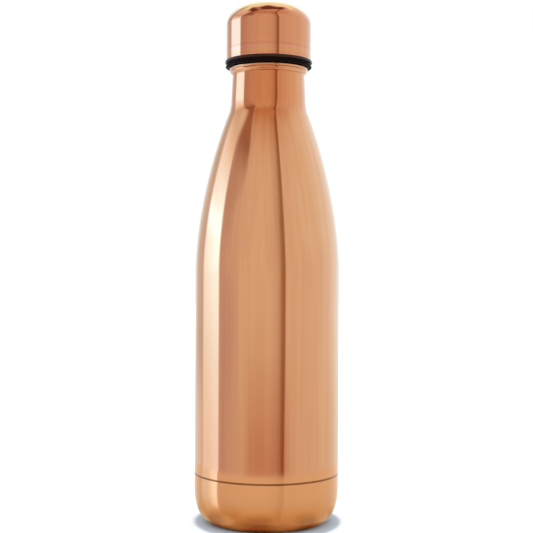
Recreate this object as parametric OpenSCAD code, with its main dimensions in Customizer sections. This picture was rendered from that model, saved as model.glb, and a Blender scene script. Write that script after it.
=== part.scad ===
// Double-walled vacuum bottle with a long cola-style shoulder and a screw stopper.
// Millimetres. +Z is up, and the origin is the centre of the foot.

/* [Body] */
// Outside diameter of the straight body
body_d = 73; // [70:0.5:76]
// Height at which the straight body turns into the shoulder
body_top = 125; // [115:1:130]
// Height of the seam between the body and the base cup
seam_z = 25; // [24.5:0.5:30]
// Outside diameter of the flat foot ring
foot_d = 49.6; // [44:0.2:52]
// Height of the rounded corner above the foot
corner_h = 20.3; // [17:0.1:20.5]
// Thickness of every steel sheet
sheet = 0.5; // [0.4:0.05:0.6]

/* [Shoulder and neck] */
// Outside diameter where the shoulder ends
shoulder_end_d = 38.9; // [38.6:0.1:39.6]
// Height at which the shoulder ends
shoulder_end_z = 207.8; // [206:0.2:208.6]
// Slope of the shoulder's end, in degrees from the vertical
shoulder_slope = 22.7; // [18:0.1:27]
// Outside diameter of the neck at its foot
neck_foot_d = 38; // [37.8:0.1:38.2]
// Outside diameter of the neck under the lip
neck_top_d = 36.6; // [36.4:0.1:37]
// Outside diameter of the lip
lip_d = 39.7; // [39.5:0.1:40]
// Height of the mouth's sealing face
mouth_z = 229.6; // [229:0.2:231]
// Diameter of the mouth's bore
bore_d = 30; // [29.8:0.1:30.2]

/* [Inner flask] */
// Clear gap between the outer shell and the inner flask along the body
vacuum_gap = 3.5; // [3.2:0.1:3.8]
// Height of the inner flask's floor, outside
flask_floor_z = 7.5; // [7.3:0.1:8]

/* [Cap] */
// Outside diameter of the steel cap cover
cap_d = 42.9; // [42.4:0.1:43.2]
// Height of the closed bottle
total_h = 261.4; // [256:0.2:264]
// How far the rounded edge of the cap reaches in
cap_edge_w = 12; // [10:0.1:13]
// How far the rounded edge of the cap reaches down
cap_edge_h = 10; // [9:0.1:11]
// Diameter of the stopper's flange, which shows under the cap
flange_d = 44.2; // [43.8:0.1:44.4]
// Diameter of the sealing ring's lip
seal_d = 43.6; // [43:0.1:43.8]
// How far the stopper reaches down into the neck
stopper_reach = 24; // [22:0.5:25]

/* [Screw thread] */
// Rise of the thread in one turn
thread_lead = 4; // [3.8:0.1:4.2]
// Turns of thread on the stopper
stopper_turns = 2.25; // [1.5:0.25:2.5]
// Turns of thread in the neck
neck_turns = 3.25; // [2.5:0.25:3.25]

/* [Hidden] */
$fn = 96;

// Points along each curved stretch of an outline
curve_steps = 20;
small_steps = 6;

// Body and base
body_r = body_d / 2;
foot_r = foot_d / 2;
corner_w = body_r - foot_r;
corner_power = 2.2;
cup_power = 2.5;
foot_recess_r = foot_r - 5.8;
foot_recess_h = 1.5;
seam_gap = 0.3;
seam_round = 0.25;

// Skirt of the outer shell, which the base cup is pressed over
skirt_fit_r = body_r - sheet;
skirt_fit_bottom = seam_z - 3.4;
skirt_low_r = skirt_fit_r - 0.7;
skirt_low_top = skirt_fit_bottom - 2;
skirt_bottom = skirt_low_top - 5.1;

// Outer bottom, which closes the vacuum space
closure_r = skirt_low_r - sheet;
closure_top = skirt_low_top - 0.4;
closure_corner_z = closure_top - 3;
closure_floor_z = 3.5;
closure_corner_w = 12;
dimple_r = 6;
dimple_roof_r = 4.5;
dimple_h = 1.5;
vent_r = 0.8;

// Getter, a pill held by a strap on the outer bottom
getter_at = 12;
getter_r = 4;
getter_h = 1.8;
strap_w = 5;
strap_t = 0.3;
strap_foot = 2.5;

// Shoulder and neck
shoulder_r = shoulder_end_d / 2;
shoulder_low_pull = 30.3;
shoulder_high_pull = 19.9;
neck_foot_r = neck_foot_d / 2;
neck_foot_z = shoulder_end_z + 2.8;
neck_top_r = neck_top_d / 2;
neck_top_z = mouth_z - 4.3;
lip_r = lip_d / 2;
rim_r = lip_r - 0.85;

// Inner flask
flask_r = body_r - sheet - vacuum_gap;
flask_neck_r = bore_d / 2 + sheet;
flask_weld_z = flask_floor_z + 14.5;
flask_corner_w = 12;
flask_neck_z = shoulder_end_z - 2;
flask_flange_t = 0.6;
bore_r = bore_d / 2;
shield_gap = 0.1;
shield_t = 0.1;
shield_end = 3;

// Sealing ring and stopper
seal_t = 2.2;
seal_lip_r = seal_d / 2;
seal_waist_r = seal_lip_r - 0.6;
seal_bore_r = 14;
flange_r = flange_d / 2;
flange_z = mouth_z + seal_t;
flange_t = 1.4;
stopper_seat_r = 13.7;
stopper_core_r = 13.5;
stopper_foot_r = 12.6;
stopper_wall = 1.6;
stopper_foot_z = mouth_z - stopper_reach;
stopper_taper_z = mouth_z - 17.6;
end_cap_t = 1.4;
web_t = 2;
spigot_h = 5;
spigot_t = 1.8;

// Cap
cap_r = cap_d / 2;
cover_t = 0.45;
cover_z = flange_z + flange_t;
cap_power = 1.85;
liner_gap = 0.1;
liner_t = 1.6;

// Thread ridges
thread_steps = 36;
fade_steps = 5;
root_w = 2;
crest_w = 1;
embed = 0.3;
stopper_crest_r = 14.7;
neck_crest_r = 14;
neck_crest_w = 0.9;
stopper_thread_z = mouth_z - 12.5;
neck_thread_z = stopper_thread_z + 1.7 - thread_lead;

copper = [0.80, 0.51, 0.36];
steel = [0.72, 0.73, 0.74];
foil = [0.76, 0.45, 0.28];
black = [0.05, 0.05, 0.05];
charcoal = [0.17, 0.15, 0.14];
foam = [0.93, 0.91, 0.86];

// A point of a cubic Bezier curve
function cubic(a, b, c, d, t) =
    pow(1 - t, 3) * a + 3 * pow(1 - t, 2) * t * b + 3 * (1 - t) * t * t * c + pow(t, 3) * d;

// The points of a cubic Bezier curve, without its first
function curve(a, b, c, d, steps) = [for (i = [1:steps]) cubic(a, b, c, d, i / steps)];

// A quarter of a superellipse from the wall, at angle 0, to the flat, at angle 90
function soft_corner(centre, w, h, power, steps) =
    [for (i = [0:steps]) let (a = 90 * i / steps)
        centre + [w * pow(cos(a), 2 / power), h * pow(sin(a), 2 / power)]];

// A circular arc
function arc(centre, r, from, to, steps) =
    [for (i = [0:steps]) let (a = from + (to - from) * i / steps)
        centre + r * [cos(a), sin(a)]];

function reversed(list) = [for (i = [len(list) - 1:-1:0]) list[i]];

// The shoulder curve between a body radius and an end point
function shoulder(from_r, end) =
    curve([from_r, body_top], [from_r, body_top + shoulder_low_pull],
        end + shoulder_high_pull * [sin(shoulder_slope), -cos(shoulder_slope)], end,
        curve_steps);

// Shoulder, neck and lower lip of the outer shell, drawn inset by a thickness
function shell_upper(inset) = concat(
    [[body_r - inset, body_top]],
    shoulder(body_r - inset, [shoulder_r - inset, shoulder_end_z]),
    curve([shoulder_r - inset, shoulder_end_z], [shoulder_r - inset - 0.35, shoulder_end_z + 0.85],
        [neck_foot_r - inset + 0.03, neck_foot_z - 0.9], [neck_foot_r - inset, neck_foot_z],
        small_steps),
    [[neck_top_r - inset, neck_top_z]],
    curve([neck_top_r - inset, neck_top_z], [neck_top_r - inset, neck_top_z + 1.6],
        [lip_r - 0.3 - inset, neck_top_z + 1.3], [lip_r - 0.3 - inset, neck_top_z + 2.5],
        small_steps));

// Outer shell: straight body, shoulder, neck and rolled lip, with a stepped skirt below
module outer_shell() {
    seam_top = seam_z + seam_gap / 2;
    groove_z = neck_top_z + 2.85;
    outside = concat(
        [[skirt_low_r, skirt_bottom], [skirt_low_r, skirt_low_top],
            [skirt_fit_r, skirt_fit_bottom], [skirt_fit_r, seam_top]],
        arc([body_r - seam_round, seam_top + seam_round], seam_round, -90, 0, small_steps),
        shell_upper(0),
        [[lip_r - 0.55, groove_z]],
        arc([lip_r - 0.65, groove_z + 0.8], 0.65, -35, 90, small_steps),
        [[rim_r, mouth_z]]);
    inside = concat(
        [[rim_r, groove_z]],
        reversed(shell_upper(sheet)),
        [[body_r - sheet, seam_top + 0.9], [skirt_fit_r - sheet, seam_top + 0.1],
            [skirt_fit_r - sheet, skirt_fit_bottom - 0.1],
            [skirt_low_r - sheet, skirt_low_top - 0.1],
            [skirt_low_r - sheet, skirt_bottom]]);
    color(copper)
        rotate_extrude()
            polygon(concat(outside, inside));
}

// Base cup: rounded cup with a recessed centre, pressed over the skirt
module base_cup() {
    rim = seam_z - seam_gap / 2;
    centre = [foot_r, corner_h];
    outside = concat(
        arc([body_r - seam_round, rim - seam_round], seam_round, 90, 0, small_steps),
        soft_corner(centre, corner_w, -corner_h, cup_power, curve_steps),
        [[foot_recess_r, 0]],
        curve([foot_recess_r, 0], [foot_recess_r - 0.8, 0],
            [foot_recess_r - 0.8, foot_recess_h], [foot_recess_r - 1.6, foot_recess_h],
            small_steps),
        [[0, foot_recess_h]]);
    inside = concat(
        [[0, foot_recess_h + sheet]],
        reversed(curve([foot_recess_r, sheet], [foot_recess_r - 0.8, sheet],
            [foot_recess_r - 0.8, foot_recess_h + sheet],
            [foot_recess_r - 1.6, foot_recess_h + sheet], small_steps)),
        [[foot_recess_r, sheet]],
        reversed(soft_corner(centre, corner_w - sheet, sheet - corner_h, cup_power, curve_steps)),
        [[body_r - sheet, rim]]);
    color(copper)
        rotate_extrude()
            polygon(concat(outside, inside));
}

// Outer bottom: dished closure welded in the skirt, with a vent in its centre dimple
module outer_bottom() {
    centre = [closure_r - closure_corner_w, closure_corner_z];
    h = closure_corner_z - closure_floor_z;
    roof = closure_floor_z + dimple_h;
    outside = concat(
        [[closure_r, closure_top]],
        soft_corner(centre, closure_corner_w, -h, corner_power, curve_steps),
        [[dimple_r, closure_floor_z], [dimple_roof_r, roof], [vent_r, roof]]);
    inside = concat(
        [[vent_r, roof + sheet], [dimple_roof_r + 0.1, roof + sheet],
            [dimple_r + 0.1, closure_floor_z + sheet]],
        reversed(soft_corner(centre, closure_corner_w - sheet, sheet - h, corner_power, curve_steps)),
        [[closure_r - sheet, closure_top]]);
    color(steel)
        rotate_extrude()
            polygon(concat(outside, inside));
}

// Bead that closes the vent once the air is out
module seal_bead() {
    roof = closure_floor_z + dimple_h;
    color(steel)
        rotate_extrude()
            polygon(concat(
                [[0, roof - 0.9]],
                arc([2.6, roof - 0.45], 0.45, -90, 90, small_steps),
                [[vent_r, roof], [vent_r, roof + 0.35], [0, roof + 0.35]]));
}

// Getter pill, which soaks up the last gas in the vacuum space
module getter() {
    color(charcoal)
        translate([getter_at, 0, closure_floor_z + sheet])
            cylinder(h = getter_h, r = getter_r);
}

// Strap that holds the getter down, spot-welded by its two feet
module getter_strap() {
    floor_z = closure_floor_z + sheet;
    span = 2 * (getter_r + strap_t);
    color(steel)
        translate([getter_at - strap_w / 2, 0, floor_z]) {
            translate([0, -span / 2, getter_h])
                cube([strap_w, span, strap_t]);
            for (side = [0, 1])
                mirror([0, side, 0])
                    translate([0, getter_r, 0]) {
                        cube([strap_w, strap_t, getter_h + strap_t]);
                        cube([strap_w, strap_t + strap_foot, strap_t]);
                    }
        }
}

// A screw ridge that winds round the Z axis and fades out at both ends. It stands out from
// root_r to crest_r, inward or outward, and is sunk into the wall behind root_r.
module screw_ridge(root_r, crest_r, top_w, z, turns) {
    out = crest_r > root_r ? 1 : -1;
    height = abs(crest_r - root_r);
    base_r = root_r - out * embed;
    base_w = root_w + (root_w - top_w) / height * embed;
    count = round(turns * thread_steps);
    function fade(i) = min(1, (i + 0.3) / fade_steps, (count - i + 0.3) / fade_steps);
    function section(i) = let (r = root_r + out * height * fade(i))
        [[base_r, -base_w / 2], [r, -top_w / 2], [r, top_w / 2], [base_r, base_w / 2]];
    points = [for (i = [0:count]) let (a = 360 * i / thread_steps, lift = thread_lead * i / thread_steps)
        for (p = section(i)) [p[0] * cos(a), p[0] * sin(a), z + lift + p[1]]];
    sides = [for (i = [0:count - 1], k = [0:3])
        [4 * i + k, 4 * i + (k + 1) % 4, 4 * (i + 1) + (k + 1) % 4, 4 * (i + 1) + k]];
    ends = [[3, 2, 1, 0], [for (k = [0:3]) 4 * count + k]];
    faces = concat(sides, ends);
    polyhedron(points, out > 0 ? faces : [for (f = faces) reversed(f)]);
}

// Inner flask: straight wall, shoulder and threaded neck, with a flange welded into the lip
module inner_flask() {
    outside = concat(
        [[flask_r, flask_weld_z], [flask_r, body_top]],
        shoulder(flask_r, [flask_neck_r + 0.35, flask_neck_z]),
        curve([flask_neck_r + 0.35, flask_neck_z], [flask_neck_r + 0.1, flask_neck_z + 0.6],
            [flask_neck_r, flask_neck_z + 1.2], [flask_neck_r, flask_neck_z + 2], small_steps),
        [[flask_neck_r, mouth_z - flask_flange_t - 0.6],
            [flask_neck_r + 0.6, mouth_z - flask_flange_t],
            [rim_r, mouth_z - flask_flange_t], [rim_r, mouth_z]]);
    inside = concat(
        reversed(arc([bore_r + 0.6, mouth_z - 0.6], 0.6, 180, 90, small_steps)),
        [[bore_r, flask_neck_z + 2]],
        reversed(concat(
            [[flask_r - sheet, body_top]],
            shoulder(flask_r - sheet, [bore_r + 0.35, flask_neck_z]),
            curve([bore_r + 0.35, flask_neck_z], [bore_r + 0.1, flask_neck_z + 0.6],
                [bore_r, flask_neck_z + 1.2], [bore_r, flask_neck_z + 1.9], small_steps))),
        [[flask_r - sheet, flask_weld_z]]);
    color(steel)
        union() {
            rotate_extrude()
                polygon(concat(outside, inside));
            screw_ridge(bore_r, neck_crest_r, neck_crest_w, neck_thread_z, neck_turns);
        }
}

// Inner bottom: dished floor of the flask, butt-welded to its wall
module inner_bottom() {
    centre = [flask_r - flask_corner_w, flask_weld_z];
    h = flask_weld_z - flask_floor_z;
    color(steel)
        rotate_extrude()
            polygon(concat(
                soft_corner(centre, flask_corner_w, -h, corner_power, curve_steps),
                [[0, flask_floor_z], [0, flask_floor_z + sheet]],
                reversed(soft_corner(centre, flask_corner_w - sheet, sheet - h, corner_power,
                    curve_steps))));
}

// Copper foil wrapped round the flask, which reflects heat
module radiation_shield() {
    shield_r = flask_r + shield_gap;
    color(foil)
        translate([0, 0, flask_weld_z + shield_end])
            difference() {
                height = body_top - flask_weld_z - 2 * shield_end;
                cylinder(h = height, r = shield_r + shield_t);
                translate([0, 0, -1])
                    cylinder(h = height + 2, r = shield_r);
            }
}

// Sealing ring: silicone washer with a thin lip at its foot and a narrower waist above
module sealing_ring() {
    lip_t = 0.9;
    color(black)
        rotate_extrude()
            polygon(concat(
                [[seal_bore_r, flange_z], [seal_bore_r, mouth_z]],
                arc([seal_lip_r - lip_t / 2, mouth_z + lip_t / 2], lip_t / 2, -90, 60, small_steps),
                [[seal_waist_r, mouth_z + lip_t + 0.3], [seal_waist_r, flange_z]]));
}

// Stopper: flange, gasket seat, threaded hollow stem and the spigot that holds the liner
module stopper() {
    edge = 0.45;
    core_z = mouth_z - 1.5;
    hollow_r = stopper_core_r - stopper_wall;
    foot_hollow_r = stopper_foot_r - 0.9;
    wall_foot = stopper_foot_z + end_cap_t;
    roof = cover_z + web_t;
    spigot_r = cap_r - cover_t - liner_gap - liner_t;
    stem = [[foot_hollow_r, wall_foot], [stopper_foot_r, wall_foot],
        [stopper_core_r, stopper_taper_z], [stopper_core_r, core_z],
        [stopper_seat_r, core_z + 0.4], [stopper_seat_r, flange_z]];
    flange = concat(
        arc([flange_r - edge, flange_z + edge], edge, -90, 10, small_steps),
        [[flange_r - 0.25, cover_z - 0.1], [flange_r - 0.4, cover_z]]);
    head = [[spigot_r, cover_z], [spigot_r, cover_z + spigot_h],
        [spigot_r - spigot_t, cover_z + spigot_h], [spigot_r - spigot_t, roof], [0, roof]];
    hollow = [[0, cover_z - 0.2], [hollow_r, cover_z - 0.2], [hollow_r, stopper_taper_z],
        [foot_hollow_r, wall_foot + 3]];
    color(charcoal)
        union() {
            rotate_extrude()
                polygon(concat(stem, flange, head, hollow));
            screw_ridge(stopper_core_r, stopper_crest_r, crest_w, stopper_thread_z, stopper_turns);
        }
}

// Disc welded under the stem, with a locating ring inside it
module stopper_end_cap() {
    ring_r = stopper_foot_r - 0.9;
    round_r = 1;
    color(charcoal)
        rotate_extrude()
            polygon(concat(
                [[0, stopper_foot_z]],
                arc([stopper_foot_r - round_r, stopper_foot_z + round_r], round_r, -90, 0,
                    small_steps),
                [[stopper_foot_r, stopper_foot_z + end_cap_t], [ring_r, stopper_foot_z + end_cap_t],
                    [ring_r, stopper_foot_z + end_cap_t + 1.6],
                    [ring_r - 1, stopper_foot_z + end_cap_t + 1.6],
                    [ring_r - 1, stopper_foot_z + end_cap_t], [0, stopper_foot_z + end_cap_t]]));
}

// Insulating foam inside the stem
module stopper_foam() {
    foot = stopper_foot_z + end_cap_t + 1.8;
    color(foam)
        translate([0, 0, foot])
            cylinder(h = cover_z - 0.4 - foot, r = stopper_foot_r - 1.6);
}

// Liner: plastic cup inside the steel cover, closed over the stopper's spigot
module cap_liner() {
    outer_r = cap_r - cover_t - liner_gap;
    outer_top = total_h - cover_t - liner_gap;
    centre = [cap_r - cap_edge_w, total_h - cap_edge_h];
    skin = cover_t + liner_gap;
    color(charcoal)
        rotate_extrude()
            polygon(concat(
                [[outer_r - liner_t, cover_z], [outer_r, cover_z]],
                soft_corner(centre, cap_edge_w - skin, cap_edge_h - skin, cap_power, curve_steps),
                [[0, outer_top], [0, outer_top - liner_t]],
                reversed(soft_corner(centre, cap_edge_w - skin - liner_t,
                    cap_edge_h - skin - liner_t, cap_power, curve_steps))));
}

// Steel cover of the cap, a drawn cup with a soft top edge
module cap_cover() {
    hem = 0.2;
    centre = [cap_r - cap_edge_w, total_h - cap_edge_h];
    color(copper)
        rotate_extrude()
            polygon(concat(
                [[cap_r - cover_t, cover_z]],
                arc([cap_r - hem, cover_z + hem], hem, -90, 0, small_steps),
                soft_corner(centre, cap_edge_w, cap_edge_h, cap_power, curve_steps),
                [[0, total_h], [0, total_h - cover_t]],
                reversed(soft_corner(centre, cap_edge_w - cover_t, cap_edge_h - cover_t,
                    cap_power, curve_steps))));
}

outer_shell();
base_cup();
outer_bottom();
seal_bead();
getter();
getter_strap();
inner_flask();
inner_bottom();
radiation_shield();
sealing_ring();
stopper();
stopper_end_cap();
stopper_foam();
cap_liner();
cap_cover();
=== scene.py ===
import math

import bmesh
import bpy
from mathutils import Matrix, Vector


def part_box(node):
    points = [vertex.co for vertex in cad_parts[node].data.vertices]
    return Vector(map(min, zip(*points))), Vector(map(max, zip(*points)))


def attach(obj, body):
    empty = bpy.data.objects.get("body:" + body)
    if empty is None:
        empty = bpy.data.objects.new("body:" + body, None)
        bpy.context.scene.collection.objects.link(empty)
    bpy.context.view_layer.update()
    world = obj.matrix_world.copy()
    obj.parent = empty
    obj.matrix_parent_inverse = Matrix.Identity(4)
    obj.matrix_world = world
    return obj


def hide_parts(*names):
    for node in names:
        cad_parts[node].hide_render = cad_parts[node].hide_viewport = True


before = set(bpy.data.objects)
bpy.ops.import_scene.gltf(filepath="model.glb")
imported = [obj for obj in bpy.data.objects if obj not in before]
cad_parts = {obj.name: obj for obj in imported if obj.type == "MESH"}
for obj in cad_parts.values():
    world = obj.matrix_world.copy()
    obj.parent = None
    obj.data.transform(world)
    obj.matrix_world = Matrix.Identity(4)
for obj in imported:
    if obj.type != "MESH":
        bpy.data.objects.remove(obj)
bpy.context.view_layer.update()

# ---------------------------------------------------------------- sizes, in millimetres

MM = 0.001
TINY = 1e-6

# Fineness: parts of a turn, steps along a curve, and spacing of rows along a straight wall
SEGMENTS = 256
THREAD_SEGMENTS = 192
SMALL_SEGMENTS = 160
CURVE_STEPS = 72
SMALL_STEPS = 14
FLASK_ROW = 4.0
WALL_ROW = 2.0
SHORT_ROW = 1.0
NECK_ROW = 0.5
THREAD_ROW = 0.16


def size_mm(node):
    """Lowest and highest corner of a CAD node, in millimetres."""
    low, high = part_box(node)
    return [c / MM for c in low], [c / MM for c in high]


shell_low, shell_high = size_mm("outer_shell")
_, cup_high = size_mm("base_cup")
flask_low, flask_high = size_mm("inner_flask")
floor_low, _ = size_mm("inner_bottom")
_, seal_high = size_mm("sealing_ring")
stopper_low, stopper_high = size_mm("stopper")
disc_low, _ = size_mm("stopper_end_cap")
cover_low, cover_high = size_mm("cap_cover")

SHEET = 0.5
BODY_R = shell_high[1]
BODY_TOP = 125.0
MOUTH_Z = shell_high[2]
SKIRT_BOTTOM = shell_low[2]
SEAM_GAP = 0.3
SEAM_ROUND = 0.25
SEAM_LOW = cup_high[2]
SEAM_HIGH = SEAM_LOW + SEAM_GAP

# Base cup
FOOT_R = 24.8
CORNER_W = BODY_R - FOOT_R
CORNER_H = 20.3
CORNER_POWER = 2.5
RECESS_R = FOOT_R - 5.8
RECESS_H = 1.5

# Skirt under the base cup
SKIRT_FIT_R = BODY_R - SHEET
SKIRT_FIT_BOTTOM = SEAM_LOW - 3.25
SKIRT_LOW_R = SKIRT_FIT_R - 0.7
SKIRT_LOW_TOP = SKIRT_FIT_BOTTOM - 2
SKIRT_TOP = SEAM_LOW + 0.02
SEAM_FLOOR_R = BODY_R - SEAM_ROUND

# Shoulder, neck and lip
SHOULDER_END = (19.45, 207.8)
SHOULDER_SLOPE = math.radians(22.7)
SHOULDER_LOW_PULL = 30.3
SHOULDER_HIGH_PULL = 19.9
NECK_FOOT = (19.0, SHOULDER_END[1] + 2.8)
NECK_TOP = (18.3, MOUTH_Z - 4.3)
NECK_CREASE = (19.09, SHOULDER_END[1] + 0.86)
NECK_BLEND = (NECK_CREASE[1] - 3.0, NECK_CREASE[1] + 4.0)
BLEND_PULL = 0.72
LIP_R = 19.85
LOWER_BEAD = (LIP_R - 0.3, NECK_TOP[1] + 2.5)
LIP_GROOVE = (LIP_R - 0.55, NECK_TOP[1] + 2.85)
UPPER_BEAD_R = 0.65
UPPER_BEAD_Z = LIP_GROOVE[1] + 0.8
RIM_R = LIP_R - 0.85

# Inner flask
FLASK_R = flask_high[1]
FLASK_WELD_Z = flask_low[2]
FLASK_NECK_Z = SHOULDER_END[1] - 2
BORE_R = 15.0
NECK_FLARE = 0.35
MOUTH_ROUND = 0.6
FLANGE_SHEET = 0.6
FLOOR_Z = floor_low[2]
FLOOR_CORNER_W = 12.0
FLOOR_POWER = 2.2

# Sealing ring, stopper and cap
SEAL_R = seal_high[1]
SEAL_BORE_R = 14.0
SEAL_LIP_T = 0.9
FLANGE_R = stopper_high[1]
FLANGE_Z = seal_high[2]
FLANGE_EDGE = 0.45
COVER_Z = cover_low[2]
CAP_TOP = cover_high[2]
CAP_R = cover_high[1]
CAP_EDGE_W = 12.0
CAP_EDGE_H = 10.0
CAP_POWER = 1.85
COVER_T = 0.45
LINER_SKIN = 0.55 + 1.6
CORE_R = 13.5
SEAT_R = 13.7
STEM_FOOT_R = 12.6
STEM_WALL = 1.6
STEM_FOOT_Z = stopper_low[2]
STEM_TAPER_Z = MOUTH_Z - 17.6

# Screw thread
LEAD = 4.0
ROOT_HALF = 1.0
STOPPER_CREST_R = 14.7
STOPPER_CREST_HALF = 0.5
STOPPER_TURNS = 2.25
STOPPER_THREAD_Z = MOUTH_Z - 12.5
NECK_CREST_R = 14.0
NECK_CREST_HALF = 0.45
NECK_TURNS = 3.25
NECK_THREAD_Z = STOPPER_THREAD_Z + 1.7 - LEAD
FADE_TURNS = 5 / 36

# ---------------------------------------------------------------- outlines: lists of (radius, height)


def bezier(a, b, c, d, steps=SMALL_STEPS):
    """Points of a cubic curve, both ends included."""
    points = []
    for i in range(steps + 1):
        t = i / steps
        w = ((1 - t) ** 3, 3 * (1 - t) ** 2 * t, 3 * (1 - t) * t * t, t ** 3)
        points.append(tuple(sum(k * p[n] for k, p in zip(w, (a, b, c, d))) for n in (0, 1)))
    return points


def soft_corner(centre, width, height, power, steps=CURVE_STEPS):
    """Quarter of a superellipse, from the wall to the flat."""
    points = []
    for i in range(steps + 1):
        a = math.pi / 2 * i / steps
        across = max(0.0, math.cos(a)) ** (2 / power)
        up = math.sin(a) ** (2 / power)
        points.append((centre[0] + width * across, centre[1] + height * up))
    return points


def arc(centre, radius, start, end, steps=SMALL_STEPS):
    """Circular arc between two angles in degrees."""
    angles = [math.radians(start + (end - start) * i / steps) for i in range(steps + 1)]
    return [(centre[0] + radius * math.cos(a), centre[1] + radius * math.sin(a)) for a in angles]


def rows(a, b, step):
    """Evenly spaced points on a straight line, both ends included."""
    count = max(1, round(math.dist(a, b) / step))
    return [tuple(p + (q - p) * i / count for p, q in zip(a, b)) for i in range(count + 1)]


def joined(*parts):
    """One outline from several, without points that repeat."""
    points = []
    for part in parts:
        for p in part:
            if not points or math.dist(points[-1], p) > 1e-4:
                points.append(p)
    if math.dist(points[0], points[-1]) < 1e-4:
        points.pop()
    return points


SHARP_TURN = math.radians(20)
CORNER_STEPS = 4
LONGEST_SHARE = 0.3
HOLD = 1.3


def softened(outline, radius, closed):
    """The outline with its sharp corners rounded and held by a row on each side."""
    count = len(outline)
    out = []
    for i, p in enumerate(outline):
        if not closed and i in (0, count - 1):
            out.append(p)
            continue
        corner = Vector(p)
        before = Vector(outline[i - 1]) - corner
        after = Vector(outline[(i + 1) % count]) - corner
        if before.angle(-after) < SHARP_TURN:
            out.append(p)
            continue
        d = min(radius, LONGEST_SHARE * before.length, LONGEST_SHARE * after.length)
        start = corner + before.normalized() * d
        end = corner + after.normalized() * d
        out.append(tuple(corner + before.normalized() * d * HOLD))
        for k in range(CORNER_STEPS + 1):
            t = k / CORNER_STEPS
            out.append(tuple((1 - t) ** 2 * start + 2 * t * (1 - t) * corner + t * t * end))
        out.append(tuple(corner + after.normalized() * d * HOLD))
    return out


def shoulder(start_r, end, low_z=BODY_TOP):
    """The long curve from a straight wall to the foot of the neck."""
    pull_in = SHOULDER_HIGH_PULL * math.sin(SHOULDER_SLOPE)
    pull_down = SHOULDER_HIGH_PULL * math.cos(SHOULDER_SLOPE)
    return bezier(
        (start_r, low_z),
        (start_r, low_z + SHOULDER_LOW_PULL),
        (end[0] + pull_in, end[1] - pull_down),
        end,
        CURVE_STEPS,
    )


def shell_upper(inset):
    """Shoulder, neck and lower bead of the lip, drawn inset by a thickness."""
    end = (SHOULDER_END[0] - inset, SHOULDER_END[1])
    foot = (NECK_FOOT[0] - inset, NECK_FOOT[1])
    top = (NECK_TOP[0] - inset, NECK_TOP[1])
    bead = (LOWER_BEAD[0] - inset, LOWER_BEAD[1])
    slope = shoulder(BODY_R - inset, end)
    slope = [p for p in slope if p[1] < NECK_BLEND[0]]
    neck = [p for p in rows(foot, top, NECK_ROW) if p[1] > NECK_BLEND[1]]
    crease = (NECK_CREASE[0] - inset, NECK_CREASE[1])
    low_pull = tuple(a + (b - a) * BLEND_PULL for a, b in zip(slope[-1], crease))
    high_pull = tuple(a + (b - a) * BLEND_PULL for a, b in zip(neck[0], crease))
    return joined(
        slope,
        bezier(slope[-1], low_pull, high_pull, neck[0]),
        neck,
        bezier(top, (top[0], top[1] + 1.6), (bead[0], top[1] + 1.3), bead),
    )


def shell_outline():
    """Outer shell: skirt, seam, wall, shoulder, neck and rolled lip, and back down the inside."""
    skirt = [(SKIRT_LOW_R, SKIRT_BOTTOM), (SKIRT_LOW_R, SKIRT_LOW_TOP)]
    fit = [(SKIRT_FIT_R, SKIRT_FIT_BOTTOM), (SKIRT_FIT_R, SKIRT_TOP)]
    seam_floor = [(SEAM_FLOOR_R, SKIRT_TOP), (SEAM_FLOOR_R, SEAM_HIGH)]
    edge = arc((BODY_R - SEAM_ROUND, SEAM_HIGH + SEAM_ROUND), SEAM_ROUND, -90, 0)
    wall = rows((BODY_R, SEAM_HIGH + 0.4), (BODY_R, BODY_TOP), WALL_ROW)
    bead = arc((LIP_R - UPPER_BEAD_R, UPPER_BEAD_Z), UPPER_BEAD_R, -35, 90)
    rim = [(RIM_R, MOUTH_Z), (RIM_R, LIP_GROOVE[1])]
    inner_skirt = [
        (BODY_R - SHEET, SEAM_HIGH + 0.9),
        (SKIRT_FIT_R - SHEET, SEAM_HIGH + 0.1),
        (SKIRT_FIT_R - SHEET, SKIRT_FIT_BOTTOM - 0.1),
        (SKIRT_LOW_R - SHEET, SKIRT_LOW_TOP - 0.1),
        (SKIRT_LOW_R - SHEET, SKIRT_BOTTOM),
    ]
    outside = joined(skirt, fit, seam_floor, edge, wall, shell_upper(0), [LIP_GROOVE], bead)
    return joined(outside, rim, shell_upper(SHEET)[::-1], inner_skirt)


def cup_outline():
    """Base cup: inside from the axis up to the seam, then the wall, the rounded foot and its recess."""
    centre = (FOOT_R, CORNER_H)
    edge = arc((BODY_R - SEAM_ROUND, SEAM_LOW - SEAM_ROUND), SEAM_ROUND, 90, 0)
    wall = rows((BODY_R, SEAM_LOW - 0.4), (BODY_R, CORNER_H), SHORT_ROW)
    corner = soft_corner(centre, CORNER_W, -CORNER_H, CORNER_POWER)
    inner_corner = soft_corner(centre, CORNER_W - SHEET, SHEET - CORNER_H, CORNER_POWER)

    def recess(z):
        far = RECESS_R - 1.6
        middle = RECESS_R - 0.8
        return bezier((RECESS_R, z), (middle, z), (middle, z + RECESS_H), (far, z + RECESS_H))

    inside = joined([(0.0, RECESS_H + SHEET)], recess(SHEET)[::-1], inner_corner[::-1])
    outside = joined(edge, wall, corner, recess(0.0), [(0.0, RECESS_H)])
    return joined(inside, [(BODY_R - SHEET, SEAM_LOW)], outside)


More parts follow.
